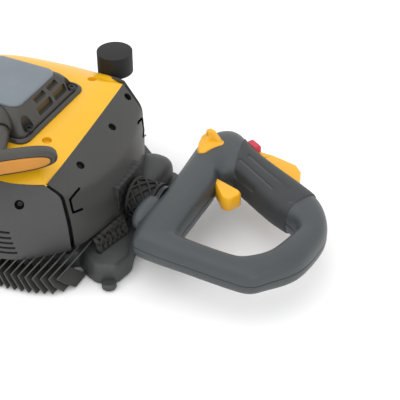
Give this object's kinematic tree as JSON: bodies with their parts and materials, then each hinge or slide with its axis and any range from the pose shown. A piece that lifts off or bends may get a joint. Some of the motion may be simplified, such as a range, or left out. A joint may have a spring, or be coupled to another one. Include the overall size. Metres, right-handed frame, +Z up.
{
  "type": "hedge trimmer",
  "caption": "Petrol hedge trimmer with a double-sided reciprocating blade, pull starter and a swivelling rear loop handle with throttle trigger.",
  "frame": {"origin": "foot of the crankshaft axis, on the flat underside of the gearcase", "axes": "+Z up along the crankshaft; -X forward along the blade, +X back to the rear handle"},
  "size_m": [1.1325, 0.2954, 0.184],
  "materials": {
    "grey_plastic": "matt moulded",
    "charcoal_plastic": "matt moulded",
    "yellow_plastic": "satin moulded",
    "red_plastic": "satin moulded",
    "panel_grey": "satin",
    "amber_rubber": "soft moulded",
    "grip_rubber": "soft moulded",
    "rope_cord": "braided",
    "cast_alloy": "die cast",
    "bright_steel": "ground",
    "dark_steel": "blackened"
  },
  "bodies": {
    "chassis": {"gearcase": "cast_alloy", "gearcase_cover": "cast_alloy", "drive_bearing": "bright_steel", "guide_bar": "bright_steel", "blade_bolts": "dark_steel", "tip_guard": "charcoal_plastic", "base_skirt": "charcoal_plastic", "fin_guard_left": "charcoal_plastic", "fin_guard_right": "charcoal_plastic", "rear_cowl": "grey_plastic", "side_cowl_left": "grey_plastic", "side_cowl_right": "grey_plastic", "front_cowl": "grey_plastic", "top_cover": "yellow_plastic", "starter_cover": "grey_plastic", "cover_panel": "panel_grey", "rope_guide": "grey_plastic", "starter_rope": "rope_cord", "crankcase": "cast_alloy", "cylinder": "cast_alloy", "recoil_spring": "dark_steel", "spark_plug": "bright_steel", "muffler": "dark_steel", "carburettor": "cast_alloy", "air_filter": "charcoal_plastic", "fuel_tank": "charcoal_plastic", "ignition_coil": "charcoal_plastic", "engine_deck": "cast_alloy", "casing_screws": "dark_steel", "swivel_mount": "cast_alloy", "swivel_nut": "bright_steel", "vent_panels": "charcoal_plastic", "front_handle": "grey_plastic", "hand_guard": "charcoal_plastic"},
    "crank": {"crankshaft": "bright_steel", "clutch_shoes": "dark_steel", "flywheel_fan": "cast_alloy"},
    "pinion": {"drive_pinion": "bright_steel", "clutch_drum": "dark_steel"},
    "gear": {"reduction_gear": "bright_steel", "blade_cams": "bright_steel"},
    "blade_a": {"blade_upper": "bright_steel"},
    "blade_b": {"blade_lower": "bright_steel"},
    "piston_set": {"piston": "cast_alloy", "connecting_rod": "bright_steel"},
    "pulley": {"starter_pulley": "charcoal_plastic"},
    "pull_grip": {"starter_grip": "grey_plastic", "grip_insert": "amber_rubber"},
    "filler_cap": {"fuel_cap": "charcoal_plastic"},
    "rear_handle": {"handle_shell_upper": "grey_plastic", "handle_shell_lower": "grey_plastic", "grip_sleeve": "grip_rubber", "swivel_collar": "charcoal_plastic", "lever_pins": "bright_steel", "lever_springs": "dark_steel", "handle_screws": "dark_steel"},
    "trigger": {"throttle_trigger": "yellow_plastic"},
    "lockout": {"lockout_lever": "yellow_plastic"},
    "stop": {"stop_button": "red_plastic"},
    "release": {"release_lever": "yellow_plastic"}
  },
  "joints": [
    {"name": "handle_swivel", "type": "hinge", "parent": "chassis", "child": "rear_handle", "pos_m": [0.16, 0, 0.052], "axis": [1, 0, 0], "range_deg": [0, 180]},
    {"name": "throttle_press", "type": "hinge", "parent": "rear_handle", "child": "trigger", "pos_m": [0.227, 0.074, 0.052], "axis": [0, 0, 1], "range_deg": [0, 14], "stiffness_Nm_per_rad": 0.6},
    {"name": "lockout_press", "type": "hinge", "parent": "rear_handle", "child": "lockout", "pos_m": [0.244, 0.109, 0.052], "axis": [0, 0, -1], "range_deg": [0, 10], "stiffness_Nm_per_rad": 0.6},
    {"name": "release_pull", "type": "hinge", "parent": "rear_handle", "child": "release", "pos_m": [0.184, 0.105, 0.052], "axis": [0, 0, -1], "range_deg": [0, 10], "stiffness_Nm_per_rad": 0.5},
    {"name": "stop_press", "type": "slide", "parent": "rear_handle", "child": "stop", "axis": [-0.5109, -0.8597, 0], "range_m": [0, 0.003], "stiffness_N_per_m": 400},
    {"name": "starter_pull", "type": "slide", "parent": "chassis", "child": "pull_grip", "axis": [0.65, -0.76, 0], "range_m": [0, 0.5], "stiffness_N_per_m": 20, "deforming": ["starter_rope"]},
    {"name": "pulley_spin", "type": "hinge", "parent": "chassis", "child": "pulley", "pos_m": [0, 0, 0.136], "axis": [0, 0, 1], "continuous": true},
    {"name": "crank_spin", "type": "hinge", "parent": "chassis", "child": "crank", "pos_m": [0, 0, 0.082], "axis": [0, 0, 1], "continuous": true},
    {"name": "gear_spin", "type": "hinge", "parent": "chassis", "child": "gear", "pos_m": [-0.04725, 0, 0.0175], "axis": [0, 0, 1], "continuous": true},
    {"name": "pinion_spin", "type": "hinge", "parent": "chassis", "child": "pinion", "pos_m": [0, 0, 0.0175], "axis": [0, 0, 1], "continuous": true},
    {"name": "piston_slide", "type": "slide", "parent": "chassis", "child": "piston_set", "axis": [-1, 0, 0], "range_m": [-0.014, 0.014]},
    {"name": "blade_upper_slide", "type": "slide", "parent": "chassis", "child": "blade_a", "axis": [1, 0, 0], "range_m": [-0.008, 0.008]},
    {"name": "blade_lower_slide", "type": "slide", "parent": "chassis", "child": "blade_b", "axis": [1, 0, 0], "range_m": [-0.008, 0.008]},
    {"name": "fuel_cap_turn", "type": "hinge", "parent": "chassis", "child": "filler_cap", "pos_m": [0.057, 0.126, 0.125], "axis": [0, 0, 1], "range_deg": [0, 180]}
  ],
  "couplings": [
    {"joint": "pinion_spin", "follows": "gear_spin", "ratio": -2},
    {"joint": "blade_lower_slide", "follows": "blade_upper_slide", "ratio": -1},
    {"joint": "pulley_spin", "follows": "starter_pull", "rad_per_m": 41.667}
  ]
}
